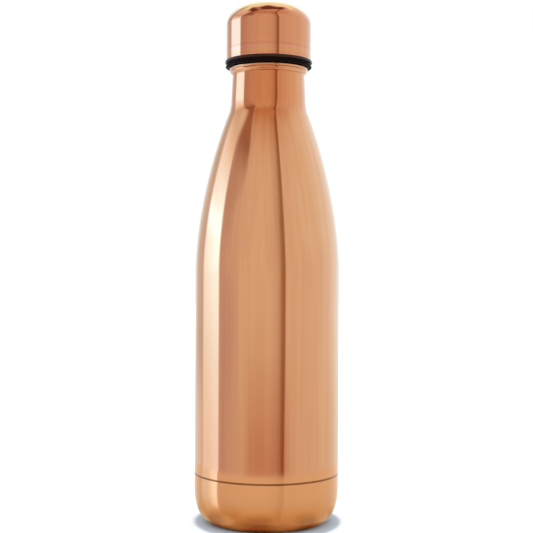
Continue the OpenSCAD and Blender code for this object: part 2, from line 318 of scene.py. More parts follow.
def flask_outline():
    """Inner flask: wall, shoulder, neck and flange under the lip, and back down the inside."""
    wall_r = FLASK_R - SHEET
    neck_r = BORE_R + SHEET
    outer_neck = (neck_r + NECK_FLARE, FLASK_NECK_Z)
    inner_neck = (BORE_R + NECK_FLARE, FLASK_NECK_Z)
    flange_z = MOUTH_Z - FLANGE_SHEET

    def neck_foot(start, r):
        up = FLASK_NECK_Z
        return bezier(start, (r + 0.1, up + 0.6), (r, up + 1.2), (r, up + 2))

    outside = joined(
        rows((FLASK_R, FLASK_WELD_Z), (FLASK_R, BODY_TOP), FLASK_ROW),
        shoulder(FLASK_R, outer_neck),
        neck_foot(outer_neck, neck_r),
        [(neck_r, flange_z - MOUTH_ROUND), (neck_r + MOUTH_ROUND, flange_z)],
        [(RIM_R, flange_z), (RIM_R, MOUTH_Z)],
    )
    inside = joined(
        arc((BORE_R + MOUTH_ROUND, MOUTH_Z - MOUTH_ROUND), MOUTH_ROUND, 90, 180),
        rows((BORE_R, MOUTH_Z - MOUTH_ROUND), (BORE_R, FLASK_NECK_Z + 2), THREAD_ROW),
        neck_foot(inner_neck, BORE_R)[::-1],
        shoulder(wall_r, inner_neck)[::-1],
        rows((wall_r, BODY_TOP), (wall_r, FLASK_WELD_Z), FLASK_ROW),
    )
    return joined(outside, inside)


def floor_outline():
    """Floor of the inner flask, with a rounded corner."""
    centre = (FLASK_R - FLOOR_CORNER_W, FLASK_WELD_Z)
    height = FLASK_WELD_Z - FLOOR_Z
    outside = soft_corner(centre, FLOOR_CORNER_W, -height, FLOOR_POWER)
    inside = soft_corner(centre, FLOOR_CORNER_W - SHEET, SHEET - height, FLOOR_POWER)
    return joined([(0.0, FLOOR_Z + SHEET)], inside[::-1], outside, [(0.0, FLOOR_Z)])


def seal_outline():
    """Sealing ring, with its thin lip at the foot."""
    waist = SEAL_R - 0.6
    lip = arc((SEAL_R - SEAL_LIP_T / 2, MOUTH_Z + SEAL_LIP_T / 2), SEAL_LIP_T / 2, -90, 60)
    top = [(waist, MOUTH_Z + SEAL_LIP_T + 0.3), (waist, FLANGE_Z)]
    return joined([(SEAL_BORE_R, FLANGE_Z), (SEAL_BORE_R, MOUTH_Z)], lip, top)


def stopper_outline():
    """Stopper: hollow stem, gasket seat, flange and spigot. Its thread is added as relief on the stem."""
    core_z = MOUTH_Z - 1.5
    hollow_r = CORE_R - STEM_WALL
    foot_hollow_r = STEM_FOOT_R - 0.9
    spigot_r = CAP_R - LINER_SKIN
    roof = COVER_Z + 2
    hollow = [(0.0, COVER_Z - 0.2), (hollow_r, COVER_Z - 0.2), (hollow_r, STEM_TAPER_Z)]
    foot = [(foot_hollow_r, STEM_FOOT_Z + 3), (foot_hollow_r, STEM_FOOT_Z), (STEM_FOOT_R, STEM_FOOT_Z)]
    seat = [(SEAT_R, core_z + 0.4), (SEAT_R, FLANGE_Z)]
    edge = arc((FLANGE_R - FLANGE_EDGE, FLANGE_Z + FLANGE_EDGE), FLANGE_EDGE, -90, 10)
    top = [(FLANGE_R - 0.25, COVER_Z - 0.1), (FLANGE_R - 0.4, COVER_Z)]
    head = [(spigot_r, COVER_Z), (spigot_r, COVER_Z + 5), (spigot_r - 1.8, COVER_Z + 5)]
    end = [(spigot_r - 1.8, roof), (0.0, roof)]
    stem = rows((CORE_R, STEM_TAPER_Z), (CORE_R, core_z), THREAD_ROW)
    return joined(hollow, foot, stem, seat, edge, top, head, end)


def disc_outline():
    """Disc under the stem, with a ring that stands up in the hollow."""
    low, ring_r = disc_low[2], STEM_FOOT_R - 0.9
    top = low + 1.4
    edge = arc((STEM_FOOT_R - 1, low + 1), 1, -90, 0)
    ring_top = top + 1.6
    ring = [(ring_r, top), (ring_r, ring_top), (ring_r - 1, ring_top), (ring_r - 1, top)]
    return joined([(0.0, low)], edge, [(STEM_FOOT_R, top)], ring, [(0.0, top)])


def cover_outline():
    """Cap's cover: lining from the axis down, hem, wall and rounded top."""
    hem = 0.2
    centre = (CAP_R - CAP_EDGE_W, CAP_TOP - CAP_EDGE_H)
    outside = soft_corner(centre, CAP_EDGE_W, CAP_EDGE_H, CAP_POWER)
    inside = soft_corner(centre, CAP_EDGE_W - COVER_T, CAP_EDGE_H - COVER_T, CAP_POWER)
    wall = rows((CAP_R, COVER_Z + 0.4), (CAP_R, centre[1]), SHORT_ROW)
    hem_arc = arc((CAP_R - hem, COVER_Z + hem), hem, -90, 0)
    lining = joined([(0.0, CAP_TOP - COVER_T)], inside[::-1], [(CAP_R - COVER_T, COVER_Z)])
    return joined(lining, hem_arc, wall, outside, [(0.0, CAP_TOP)])


# ---------------------------------------------------------------- meshes


SHARP_EDGE = math.radians(40)
ON_WALL = 1e-3


def lathe(name, outline, segments=SEGMENTS, relief=None):
    """Mesh object turned round Z. An outline that starts on the axis ends on it; any other is a ring."""
    on_axis = outline[0][0] < TINY
    vertices, rings, faces = [], [], []
    for r, z in outline:
        ring = []
        for i in range(1 if r < TINY else segments):
            share = i / segments
            reach = r if relief is None else relief(share, r, z)
            a = math.tau * share
            ring.append(len(vertices))
            vertices.append((reach * math.cos(a) * MM, reach * math.sin(a) * MM, z * MM))
        rings.append(ring)
    pairs = list(zip(rings, rings[1:]))
    if not on_axis:
        pairs.append((rings[-1], rings[0]))
    for low, high in pairs:
        for i in range(segments):
            j = (i + 1) % segments
            if len(low) == 1:
                faces.append((low[0], high[j], high[i]))
            elif len(high) == 1:
                faces.append((low[i], low[j], high[0]))
            else:
                faces.append((low[i], low[j], high[j], high[i]))
    mesh = bpy.data.meshes.new(name)
    mesh.from_pydata(vertices, [], faces)
    shape = bmesh.new()
    shape.from_mesh(mesh)
    bmesh.ops.recalc_face_normals(shape, faces=shape.faces)
    shape.to_mesh(mesh)
    shape.free()
    mesh.shade_smooth()
    mesh.set_sharp_from_angle(angle=SHARP_EDGE)
    piece = bpy.data.objects.new(name, mesh)
    bpy.context.scene.collection.objects.link(piece)
    return piece


def smooth_step(x):
    """Smooth rise from 0 to 1, level outside that range."""
    x = min(1.0, max(0.0, x))
    return x * x * (3 - 2 * x)


def ridge(share, z, start_z, turns, crest_half):
    """Height of a screw ridge, 0 to 1, at a share of a turn and a height."""
    best = 0.0
    base = (z - start_z) / LEAD - share
    for lap in (math.floor(base), math.floor(base) + 1):
        along = lap + share
        if not -FADE_TURNS < along < turns + FADE_TURNS:
            continue
        off = abs(z - (start_z + LEAD * along))
        flank = smooth_step((ROOT_HALF - off) / (ROOT_HALF - crest_half))
        fade = smooth_step(min(along, turns - along) / FADE_TURNS + 0.3)
        best = max(best, flank * fade)
    return best


def stopper_relief(share, r, z):
    """Thread that stands out of the stopper's stem."""
    if abs(r - CORE_R) > ON_WALL:
        return r
    height = ridge(share, z, STOPPER_THREAD_Z, STOPPER_TURNS, STOPPER_CREST_HALF)
    return r + (STOPPER_CREST_R - CORE_R) * height


def neck_relief(share, r, z):
    """Thread that stands into the neck's bore."""
    if abs(r - BORE_R) > ON_WALL:
        return r
    height = ridge(share, z, NECK_THREAD_Z, NECK_TURNS, NECK_CREST_HALF)
    return r - (BORE_R - NECK_CREST_R) * height


def build(name, outline, node, body, material, soften=0.0, segments=SEGMENTS, relief=None):
    """A turned piece that stands for a CAD node."""
    if soften:
        outline = softened(outline, soften, outline[0][0] >= TINY)
    piece = lathe(name, outline, segments, relief)
    piece.data.materials.append(material)
    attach(piece, body)
    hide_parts(node)
    return piece


# ---------------------------------------------------------------- node trees


class Graph:
    """Short calls for building a node tree."""

    def __init__(self, tree):
        tree.nodes.clear()
        self.tree = tree

    def add(self, kind, **settings):
        node = self.tree.nodes.new("ShaderNode" + kind)
        for key, value in settings.items():
            setattr(node, key, value)
        return node

    def feed(self, socket, value):
        """Links an output to a socket, or sets the socket's own value."""
        if isinstance(value, bpy.types.NodeSocket):
            self.tree.links.new(value, socket)
        elif isinstance(value, (tuple, list)) and len(value) == 3 and len(socket.default_value) == 4:
            socket.default_value = (*value, 1.0)
        else:
            socket.default_value = value

    def math(self, operation, *values, clamp=False):
        node = self.add("Math", operation=operation, use_clamp=clamp)
        for socket, value in zip(node.inputs, values):
            self.feed(socket, value)
        return node.outputs[0]

    def step(self, value, start, end, low=0.0, high=1.0):
        """Smooth step from low at start to high at end."""
        node = self.add("MapRange", interpolation_type="SMOOTHSTEP")
        names = ("Value", "From Min", "From Max", "To Min", "To Max")
        for name, given in zip(names, (value, start, end, low, high)):
            self.feed(node.inputs[name], given)
        return node.outputs[0]

    def band(self, value, start, end, soft):
        """1 between start and end, with soft edges."""
        rise = self.step(value, start - soft, start + soft)
        fall = self.step(value, end - soft, end + soft, 1.0, 0.0)
        return self.math("MULTIPLY", rise, fall)

    def mix(self, factor, a, b, blend="MIX"):
        node = self.add("Mix", data_type="RGBA", blend_type=blend)
        self.feed(node.inputs[0], factor)
        self.feed(node.inputs[6], a)
        self.feed(node.inputs[7], b)
        return node.outputs[2]

    def ramp(self, factor, stops, scale=1.0):
        """Colours along a 0 to 1 factor. A scale lets them go above 1."""
        node = self.add("ValToRGB")
        ramp = node.color_ramp
        while len(ramp.elements) < len(stops):
            ramp.elements.new(1.0)
        for element, (place, colour) in zip(ramp.elements, stops):
            element.position = place
            rgb = colour if isinstance(colour, tuple) else (colour,) * 3
            element.color = (*(c / scale for c in rgb), 1.0)
        self.feed(node.inputs[0], factor)
        if scale == 1.0:
            return node.outputs[0]
        return self.mix(1.0, node.outputs[0], (scale,) * 3, "MULTIPLY")

    def xyz(self, vector):
        node = self.add("SeparateXYZ")
        self.feed(node.inputs[0], vector)
        return node.outputs

    def combine(self, x, y, z):
        node = self.add("CombineXYZ")
        for socket, value in zip(node.inputs, (x, y, z)):
            self.feed(socket, value)
        return node.outputs[0]

    def stretched(self, vector, scale):
        node = self.add("Mapping")
        self.feed(node.inputs["Vector"], vector)
        self.feed(node.inputs["Scale"], scale)
        return node.outputs[0]

    def noise(self, vector, scale, detail=2.0, roughness=0.5, distortion=0.0):
        node = self.add("TexNoise")
        self.feed(node.inputs["Vector"], vector)
        self.feed(node.inputs["Scale"], scale)
        self.feed(node.inputs["Detail"], detail)
        self.feed(node.inputs["Roughness"], roughness)
        self.feed(node.inputs["Distortion"], distortion)
        return node.outputs[0]

    def cells(self, vector, scale, feature="F1"):
        node = self.add("TexVoronoi", feature=feature)
        self.feed(node.inputs["Vector"], vector)
        self.feed(node.inputs["Scale"], scale)
        return node.outputs["Distance"]

    def bump(self, height, distance, strength=1.0, normal=None):
        node = self.add("Bump")
        self.feed(node.inputs["Strength"], strength)
        self.feed(node.inputs["Distance"], distance)
        self.feed(node.inputs["Height"], height)
        if normal is not None:
            self.feed(node.inputs["Normal"], normal)
        return node.outputs[0]


def new_material(name):
    """A material with a Principled shader, its graph and its object coordinates."""
    material = bpy.data.materials.new(name)
    material.use_nodes = True
    g = Graph(material.node_tree)
    shader = g.add("BsdfPrincipled")
    output = g.add("OutputMaterial")
    g.feed(output.inputs["Surface"], shader.outputs[0])
    place = g.add("TexCoord").outputs["Object"]
    return material, g, shader, place


# ---------------------------------------------------------------- finishes

COPPER_BODY = (0.80, 0.36, 0.18)
COPPER_DEEP = (0.685, 0.212, 0.080)
COPPER_WORN = (0.88, 0.52, 0.34)
COPPER_GROOVE = (0.30, 0.10, 0.030)
GROOVE_HALF = 0.50
WEAR_WIDTH = 0.7
MICRON = 1e-6


def copper_finish(name, tint, wear_heights, neck=False, groove=None, rings=()):
    """Mirror-polished copper-coloured steel, with faint lathe lines, soft smudges and worn edges.

    A neck has a deeper coat, painted deepest across its front and back and paler towards its sides and on
    the lip, as painted light and shade.
    A groove gets a dark band of painted shade, and rings are painted bands of reflection and shade round
    the piece.
    """
    material, g, shader, place = new_material(name)
    x, y, z = g.xyz(place)
    slow = g.noise(place, 22.0, 3.0, 0.55)
    patch = g.noise(place, 70.0, 4.0, 0.6, 0.4)
    lines = g.noise(g.stretched(place, (90.0, 90.0, 5200.0)), 1.0, 3.0, 0.6)
    fine = g.noise(g.stretched(place, (700.0, 700.0, 260.0)), 1.0, 2.0, 0.5)

    deep = tuple(a * b for a, b in zip(COPPER_BODY, tint))
    colour = g.mix(g.step(slow, 0.35, 0.7, 0.0, 0.5), deep, tuple(c * 0.94 for c in deep))
    # Painted light and shade: the neck's deep coat is strongest across its front and back, and paler
    # towards its left and right sides and on the lip
    if neck:
        at_neck = g.step(z, (SHOULDER_END[1] - 12) * MM, (SHOULDER_END[1] + 4) * MM)
        coat = g.step(x, 2.0 * MM, 16.0 * MM, 1.0, 0.5)
        coat = g.math("MULTIPLY", coat, g.step(x, -14.0 * MM, -4.0 * MM, 0.65, 1.0))
        below_lip = g.step(z, (NECK_TOP[1] + 0.4) * MM, (NECK_TOP[1] + 1.6) * MM, 1.0, 0.35)
        coat = g.math("MULTIPLY", coat, below_lip)
        colour = g.mix(g.math("MULTIPLY", at_neck, coat), colour, COPPER_DEEP)
    worn = None
    for height in wear_heights:
        off = g.math("ABSOLUTE", g.math("SUBTRACT", z, height * MM))
        edge = g.step(off, 0.0, WEAR_WIDTH * MM, 1.0, 0.0)
        worn = edge if worn is None else g.math("MAXIMUM", worn, edge)
    worn = g.math("MULTIPLY", worn, g.step(patch, 0.42, 0.66, 0.1, 0.8))
    colour = g.mix(worn, colour, COPPER_WORN)
    # Painted bands of reflection and shade round the piece, lighter and darker than the finish
    for height, half, ring_tint in rings:
        ring = g.band(z, (height - half) * MM, (height + half) * MM, 0.25 * MM)
        ring = g.math("MULTIPLY", ring, g.step(slow, 0.2, 0.8, 0.7, 1.0))
        colour = g.mix(ring, colour, ring_tint, "MULTIPLY")
    # Painted shade: a dark band along the seam between the shell and the cup, wider than the gap itself
    if groove is not None:
        grime = g.band(z, (groove - GROOVE_HALF) * MM, (groove + GROOVE_HALF) * MM, 0.12 * MM)
        grime = g.math("MULTIPLY", grime, g.step(patch, 0.25, 0.7, 0.75, 0.92))
        colour = g.mix(grime, colour, COPPER_GROOVE)
    g.feed(shader.inputs["Base Color"], colour)

    smudge = g.step(patch, 0.5, 0.78, 0.0, 0.05)
    rough = g.math("ADD", g.step(lines, 0.3, 0.75, 0.055, 0.085), smudge)
    rough = g.math("ADD", rough, g.math("MULTIPLY", worn, 0.12))
    g.feed(shader.inputs["Roughness"], rough)
    shader.inputs["Metallic"].default_value = 1.0

    waves = g.bump(g.noise(place, 38.0, 1.0, 0.4), 20 * MICRON)
    hair = g.bump(lines, 0.6 * MICRON, 1.0, waves)
    g.feed(shader.inputs["Normal"], g.bump(fine, 0.8 * MICRON, 1.0, hair))
    return material


def steel_finish(name, colour, rough, line_scale):
    """Bare stainless steel with drawn lines round it."""
    material, g, shader, place = new_material(name)
    lines = g.noise(g.stretched(place, (60.0, 60.0, line_scale)), 1.0, 4.0, 0.65)
    cloud = g.noise(place, 45.0, 3.0, 0.6, 0.6)
    dark = tuple(c * 0.8 for c in colour)
    g.feed(shader.inputs["Base Color"], g.mix(g.step(cloud, 0.35, 0.7), colour, dark))
    drawn = g.step(lines, 0.3, 0.7, rough, rough + 0.12)
    g.feed(shader.inputs["Roughness"], g.math("ADD", drawn, g.step(cloud, 0.5, 0.8, 0.0, 0.06)))
    shader.inputs["Metallic"].default_value = 1.0
    grain = g.bump(lines, 4 * MICRON)
    g.feed(shader.inputs["Normal"], g.bump(cloud, 30 * MICRON, 1.0, grain))
    return material


def foil_finish():
    """Crinkled copper foil."""
    material, g, shader, place = new_material("copper_foil")
    crease = g.cells(place, 130.0, "DISTANCE_TO_EDGE")
    cloud = g.noise(place, 60.0, 4.0, 0.6)
    g.feed(shader.inputs["Base Color"], g.mix(cloud, (0.62, 0.25, 0.12), (0.78, 0.38, 0.21)))
    g.feed(shader.inputs["Roughness"], g.step(cloud, 0.3, 0.7, 0.18, 0.34))
    shader.inputs["Metallic"].default_value = 1.0
    g.feed(shader.inputs["Normal"], g.bump(g.step(crease, 0.0, 0.12), 120 * MICRON, 0.8))
    return material


def silicone_finish():
    """Matt black silicone with a moulding haze and a little dust."""
    material, g, shader, place = new_material("black_silicone")
    haze = g.noise(place, 180.0, 4.0, 0.65)
    dust = g.step(g.noise(place, 2600.0, 2.0, 0.7), 0.68, 0.78)
    colour = g.mix(haze, (0.0046, 0.0020, 0.0010), (0.0078, 0.0042, 0.0028))
    colour = g.mix(g.math("MULTIPLY", dust, 0.25), colour, (0.040, 0.036, 0.032))
    g.feed(shader.inputs["Base Color"], colour)
    g.feed(shader.inputs["Roughness"], g.step(haze, 0.3, 0.7, 0.50, 0.64))
    shader.inputs["Specular IOR Level"].default_value = 0.03
    g.feed(shader.inputs["Normal"], g.bump(g.noise(place, 1500.0, 3.0, 0.6), 10 * MICRON))
    return material


def plastic_finish():
    """Charcoal moulded plastic with a fine spark-eroded grain and rubbed edges."""
    material, g, shader, place = new_material("charcoal_plastic")
    x, y, z = g.xyz(place)
    grain = g.noise(place, 2100.0, 3.0, 0.6)
    cloud = g.noise(place, 90.0, 3.0, 0.55)
    near_cover = g.step(z, FLANGE_Z * MM, COVER_Z * MM, 0.0, 0.6)
    rub = g.math("MULTIPLY", g.step(cloud, 0.5, 0.75), near_cover)
    colour = g.mix(cloud, (0.0220, 0.0080, 0.0050), (0.0310, 0.0125, 0.0080))
    g.feed(shader.inputs["Base Color"], g.mix(rub, colour, (0.028, 0.020, 0.015)))
    shader.inputs["Specular IOR Level"].default_value = 0.13
    shader.inputs["Specular Tint"].default_value = (1.0, 0.66, 0.55, 1.0)
    moulded = g.step(grain, 0.3, 0.7, 0.27, 0.37)
    g.feed(shader.inputs["Roughness"], g.math("ADD", moulded, g.step(cloud, 0.45, 0.75, 0.0, 0.08)))
    g.feed(shader.inputs["Normal"], g.bump(grain, 6 * MICRON))
    return material


def foam_finish():
    """Open-cell insulating foam."""
    material, g, shader, place = new_material("insulating_foam")
    cell = g.cells(place, 1400.0)
    cloud = g.noise(place, 120.0, 3.0, 0.5)
    g.feed(shader.inputs["Base Color"], g.mix(cloud, (0.76, 0.72, 0.63), (0.86, 0.83, 0.76)))
    g.feed(shader.inputs["Roughness"], g.step(cloud, 0.3, 0.7, 0.85, 0.95))
    g.feed(shader.inputs["Normal"], g.bump(cell, 200 * MICRON, 0.8))
    return material


def getter_finish():
    """Sintered grey pill."""
    material, g, shader, place = new_material("sintered_getter")
    grit = g.noise(place, 2600.0, 4.0, 0.7)
    g.feed(shader.inputs["Base Color"], g.mix(grit, (0.10, 0.10, 0.10), (0.28, 0.27, 0.26)))
    g.feed(shader.inputs["Roughness"], g.step(grit, 0.3, 0.7, 0.5, 0.75))
    shader.inputs["Metallic"].default_value = 1.0
    g.feed(shader.inputs["Normal"], g.bump(grit, 40 * MICRON))
    return material


# Tint of the cap's coat, and painted bands of reflection on the finish, lighter and darker: height, half
# width, tint
CAP_TINT = (0.91, 0.75, 0.73)
CAP_RINGS = (
    (COVER_Z + 6.9, 0.15, (1.04, 1.12, 1.20)),
    (COVER_Z + 5.6, 0.70, (0.97, 0.92, 0.92)),
    (COVER_Z + 4.2, 0.60, (1.04, 1.10, 1.35)),
    (COVER_Z + 2.6, 0.80, (1.03, 1.12, 0.98)),
)
# A painted dark line of shade in the crease between the neck and the lip: height, half width, tint
LIP_RINGS = ((NECK_TOP[1] + 0.8, 0.15, (0.78, 0.66, 0.56)),)
SEAM_Z = (SEAM_LOW + SEAM_HIGH) / 2
shell_copper = copper_finish("copper_shell", (1.0, 1.0, 1.0), (MOUTH_Z,), True, SEAM_Z, LIP_RINGS)
cup_copper = copper_finish("copper_cup", (1.0, 1.0, 0.97), (0.6,), groove=SEAM_Z)
cap_copper = copper_finish("copper_cap", CAP_TINT, (COVER_Z, CAP_TOP - 0.4), rings=CAP_RINGS)
flask_steel = steel_finish("drawn_steel", (0.62, 0.62, 0.61), 0.16, 3200.0)
weld_steel = steel_finish("pickled_steel", (0.50, 0.50, 0.49), 0.30, 900.0)
foil = foil_finish()
silicone = silicone_finish()
plastic = plastic_finish()
foam = foam_finish()
sintered = getter_finish()

# ---------------------------------------------------------------- pieces that stand for CAD nodes

SEAL_ROUND = 0.12
STOPPER_ROUND = 0.15

build("shell", shell_outline(), "outer_shell", "bottle", shell_copper)
build("cup", cup_outline(), "base_cup", "bottle", cup_copper)
build("cover", cover_outline(), "cap_cover", "cap", cap_copper)
build("seal", seal_outline(), "sealing_ring", "seal", silicone, SEAL_ROUND)
build(
    "plug",
    stopper_outline(),
    "stopper",
    "cap",
    plastic,
    STOPPER_ROUND,
    THREAD_SEGMENTS,
    stopper_relief,
)
build(
    "plug_disc",
    disc_outline(),
    "stopper_end_cap",
    "cap",
    plastic,
    SEAL_ROUND,
    SMALL_SEGMENTS,
)
build(
    "flask",
    flask_outline(),
    "inner_flask",
    "bottle",
    flask_steel,
    segments=THREAD_SEGMENTS,
    relief=neck_relief,
)
build(
    "flask_floor",
    floor_outline(),
    "inner_bottom",
    "bottle",
    flask_steel,
    segments=SMALL_SEGMENTS,
)

CARRIED_OVER = {
    "outer_bottom": weld_steel,
    "seal_bead": weld_steel,
    "getter": sintered,
    "getter_strap": weld_steel,
    "radiation_shield": foil,
    "stopper_foam": foam,
    "cap_liner": plastic,
}
for node, material in CARRIED_OVER.items():
    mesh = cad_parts[node].data
    mesh.materials.clear()
    mesh.materials.append(material)

# ---------------------------------------------------------------- studio
# Directions are in degrees: azimuth from the camera's side, positive to its right, and elevation above the
# horizon. Overhead, where azimuths crowd together, side and back are used instead: x and y over the height.

DAYLIGHT = (1.62, 1.70, 1.80)
UNDER_LIGHT = (0.30, 0.34, 0.42)
BACKDROP = (1.0, 1.0, 1.0)

# Colours of the tent's cloth round the room, by azimuth
CLOTH = (
    (-180, (1.0, 1.19, 1.27)),
    (-155, (0.90, 1.04, 1.07)),
    (-144, (0.76, 0.92, 0.95)),
    (-134, (0.72, 0.86, 0.95)),
    (-90, (0.68, 0.70, 0.74)),
    (-72, (0.70, 0.69, 0.76)),
    (-50, (0.78, 0.82, 0.84)),
    (-25, (0.85, 0.92, 0.89)),
    (18, (0.86, 0.92, 0.90)),
    (34, (0.85, 0.91, 0.92)),
    (80, (0.88, 0.99, 1.00)),
    (100, (0.91, 1.10, 1.18)),
    (118, (0.94, 1.22, 1.42)),
    (132, (1.00, 1.37, 1.65)),
    (150, (1.00, 1.35, 1.50)),
    (180, (1.0, 1.19, 1.27)),
)
CLOTH_SCALE = 2.0
CLOTH_LEAN = 0.065
UPPER_CLOTH = (0.82, 0.60, 0.46)
LOWER_CLOTH = (0.78, 0.56, 0.50)
GAP_SHADE = (0.48, 0.31, 0.19)
GAP_END = 28.6
GAP_END_LOW = 26.9
WINDOW = (1.32, 2.75, 4.4)
WINDOW_FAR_SIDE = (1.24, 2.02, 2.85)
WINDOW_BAR = (1.42, 3.2, 5.6)
WINDOW_HIGH = (1.06, 1.22, 1.36)
WINDOW_LOW = (1.15, 1.62, 2.26)
WINDOW_LOW_FAR_SIDE = (1.07, 1.37, 1.64)
WINDOW_GLOW = (1.10, 1.50, 1.70)
WINDOW_TOP = 39.0
WINDOW_TOP_SLOPE = 0.09
ARCH_DARK = (0.43, 0.28, 0.22)
ARCH_TAIL = (0.52, 0.30, 0.25)
ROOF = (1.25, 2.00, 1.80)
SLIT_DARK = (0.19, 0.075, 0.038)


class Sky:
    """The direction of a ray, in the terms that the room is drawn in."""

    def __init__(self, g):
        self.x, self.y, self.z = g.xyz(g.add("TexCoord").outputs["Generated"])
        degree = 180 / math.pi
        self.elevation = g.math("MULTIPLY", g.math("ARCSINE", self.z), degree)
        azimuth = g.math("MULTIPLY", g.math("ARCTAN2", self.x, g.math("MULTIPLY", self.y, -1.0)), degree)
        azimuth = g.math("ADD", azimuth, g.math("MULTIPLY", self.elevation, CLOTH_LEAN))
        self.azimuth = g.math("SUBTRACT", azimuth, g.step(self.elevation, 46.0, 70.0, 0.0, 9.0))
        over = g.math("MAXIMUM", self.z, 0.05)
        self.back = g.math("DIVIDE", self.y, over)
        self.side = g.math("DIVIDE", self.x, over)


def cloth_walls(g, sky):
    """Pale cloth all round, with soft folds."""
    round_room = g.math("ADD", g.math("DIVIDE", sky.azimuth, 360.0), 0.5)
    stops = [((azimuth + 180) / 360, colour) for azimuth, colour in CLOTH]
    room = g.ramp(round_room, stops, CLOTH_SCALE)
    across = g.math("MULTIPLY", sky.azimuth, 0.11)
    up = g.math("MULTIPLY", sky.elevation, 0.035)
    folds = g.noise(g.combine(across, up, 0.0), 1.0, 3.0, 0.6)
    shade = g.mix(g.step(folds, 0.32, 0.68), (0.96, 0.94, 0.94), (1.03, 1.05, 1.06))
    return g.mix(1.0, room, shade, "MULTIPLY")


def warm_edges(g, sky, room):
    """Upper and lower ends of the cloth, warmer and darker, and its two uneven folds left of the gap."""
    azimuth, elevation = sky.azimuth, sky.elevation
    near_gap = g.step(azimuth, 27.0, 34.0, 1.0, 0.62)
    facing = g.math("MULTIPLY", near_gap, g.step(azimuth, 45.0, 98.0, 1.0, 0.0))
    high = g.math("MULTIPLY", g.step(elevation, 31.0, 50.0), facing)
    room = g.mix(high, room, UPPER_CLOTH, "MULTIPLY")
    middle = g.math("ADD", g.math("MULTIPLY", g.band(azimuth, -33.0, 34.0, 10.0), 0.8), 0.2)
    low = g.math("MULTIPLY", g.step(elevation, -2.0, -10.5), middle)
    room = g.mix(low, room, LOWER_CLOTH, "MULTIPLY")
    fold = g.math("MULTIPLY", g.band(azimuth, -72.0, -53.0, 7.0), g.band(elevation, -6.5, -1.0, 2.0))
    room = g.mix(fold, room, (0.96, 0.89, 0.98), "MULTIPLY")
    fold = g.math("MULTIPLY", g.band(azimuth, -46.0, -34.0, 6.0), g.band(elevation, -7.0, 6.0, 2.5))
    return g.mix(fold, room, (1.04, 1.08, 1.03), "MULTIPLY")


def overhead_gap(g, sky):
    """The part of the gap between the cloths that runs on overhead."""
    return g.math("MULTIPLY", g.band(sky.side, 0.325, 0.385, 0.03), g.step(sky.back, 0.02, -0.08))


def dark_gap(g, sky, room, overhead):
    """Gap between two cloths, soft on its left and sharp on its right."""
    azimuth, elevation = sky.azimuth, sky.elevation
    gap = g.math("MULTIPLY", g.step(azimuth, 2.0, 25.0), 0.46)
    gap = g.math("ADD", gap, g.math("MULTIPLY", g.step(azimuth, 17.5, 25.5), 0.54))
    past_end = g.math("SUBTRACT", azimuth, g.step(elevation, -3.0, -11.0, GAP_END, GAP_END_LOW))
    gap = g.math("MULTIPLY", gap, g.step(past_end, -1.2, 1.2, 1.0, 0.0))
    gap = g.mix(g.step(elevation, 47.0, 51.0), gap, overhead)
    return g.mix(gap, room, GAP_SHADE, "MULTIPLY")


def side_window(g, sky, room):
    """Bright window on the left, with a glow above it."""
    azimuth, elevation = sky.azimuth, sky.elevation
    top = g.math("ADD", g.math("MULTIPLY", azimuth, WINDOW_TOP_SLOPE), WINDOW_TOP)
    above = g.math("SUBTRACT", elevation, top)
    left_edge = g.step(azimuth, -126.0, -117.0)
    inside = g.math("MULTIPLY", left_edge, g.step(azimuth, -84.4, -80.6, 1.0, 0.0))
    lit = g.math("MULTIPLY", inside, g.step(above, -5.0, 3.0, 1.0, 0.0))
    glow = g.math("MULTIPLY", inside, g.step(above, -2.0, 16.0, 0.45, 0.0))
    bright = g.mix(g.step(azimuth, -124.0, -88.0, 1.0, 0.0), WINDOW, WINDOW_FAR_SIDE)
    dim = g.mix(g.step(azimuth, -112.0, -84.0), WINDOW_LOW_FAR_SIDE, WINDOW_LOW)
    bright = g.mix(g.step(elevation, 5.0, -11.0), bright, dim)
    bar = g.math("MULTIPLY", g.band(elevation, 9.5, 14.0, 3.0), 0.7)
    bright = g.mix(bar, bright, WINDOW_BAR)
    bright = g.mix(g.step(elevation, 12.0, 32.0), bright, WINDOW_HIGH)
    room = g.mix(glow, room, WINDOW_GLOW)
    return g.mix(lit, room, bright)


